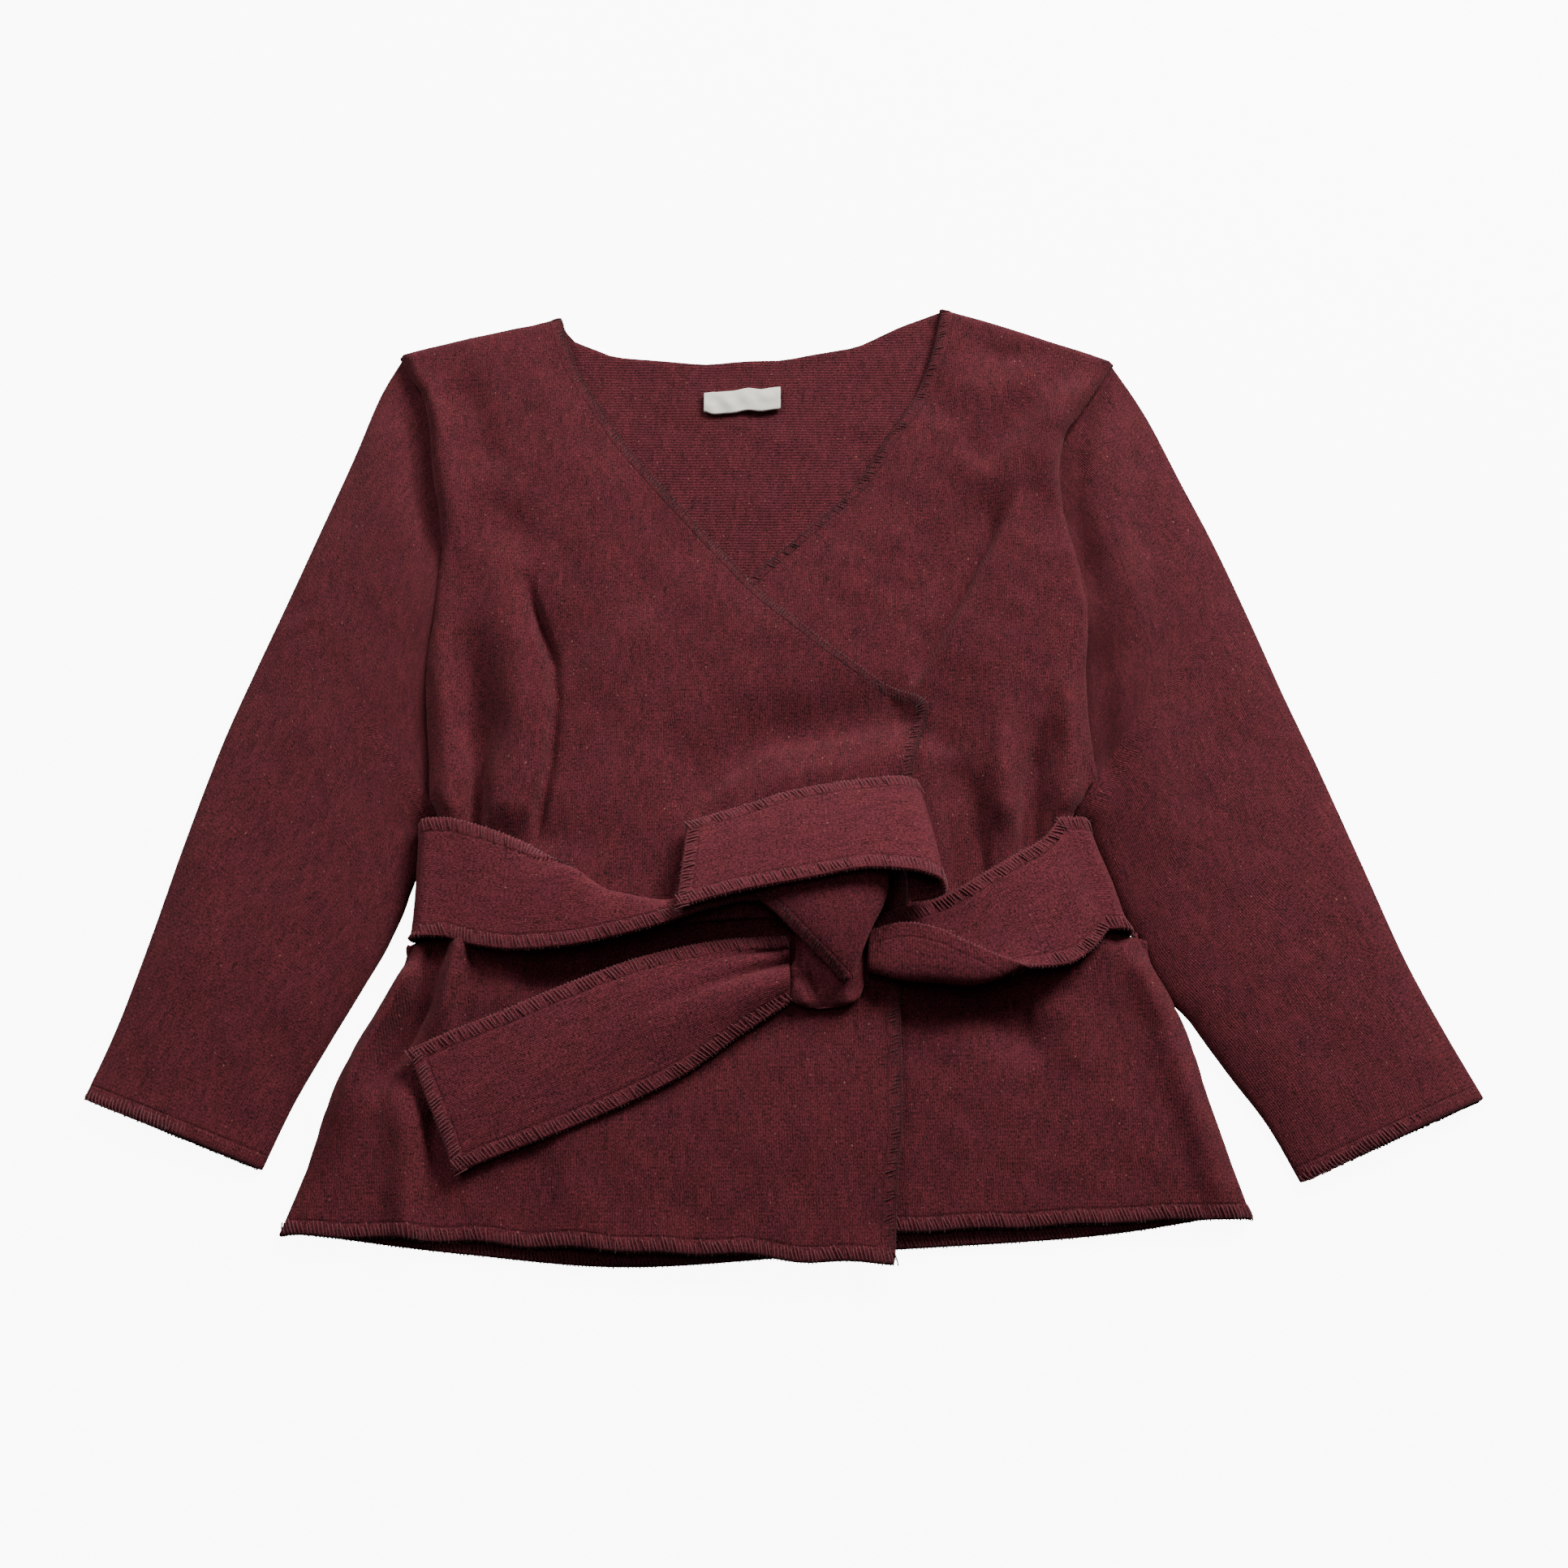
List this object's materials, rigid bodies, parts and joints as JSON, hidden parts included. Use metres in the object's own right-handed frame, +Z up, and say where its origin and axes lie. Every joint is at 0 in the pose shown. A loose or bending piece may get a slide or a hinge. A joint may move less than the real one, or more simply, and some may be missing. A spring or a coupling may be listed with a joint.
{
  "type": "baby cardigan",
  "caption": "Baby's knitted wrap cardigan with long sleeves, a V neck, overlocked edges and a tie belt knotted at the waist, laid flat with its front up.",
  "frame": {"origin": "on the surface it lies on, under the middle of its outline", "axes": "+X to the viewer's right from cuff to cuff, +Y from the hem to the neck, +Z up from the surface, out of the front of the garment"},
  "size_m": [0.448, 0.345, 0.0304],
  "materials": {
    "knit": "fine heathered knit, matt",
    "belt_knit": "fine heathered knit, matt",
    "label": "blank woven tape"
  },
  "bodies": {
    "root": {"back": "knit", "front_under": "knit", "front_over": "knit", "sleeve_left": "knit", "sleeve_right": "knit", "neck_label": "label", "belt_back": "belt_knit", "belt_left": "belt_knit", "belt_right": "belt_knit", "belt_tail_long": "belt_knit", "belt_tail_short": "belt_knit", "belt_knot": "belt_knit", "belt_knot_flap": "belt_knit"}
  },
  "joints": []
}
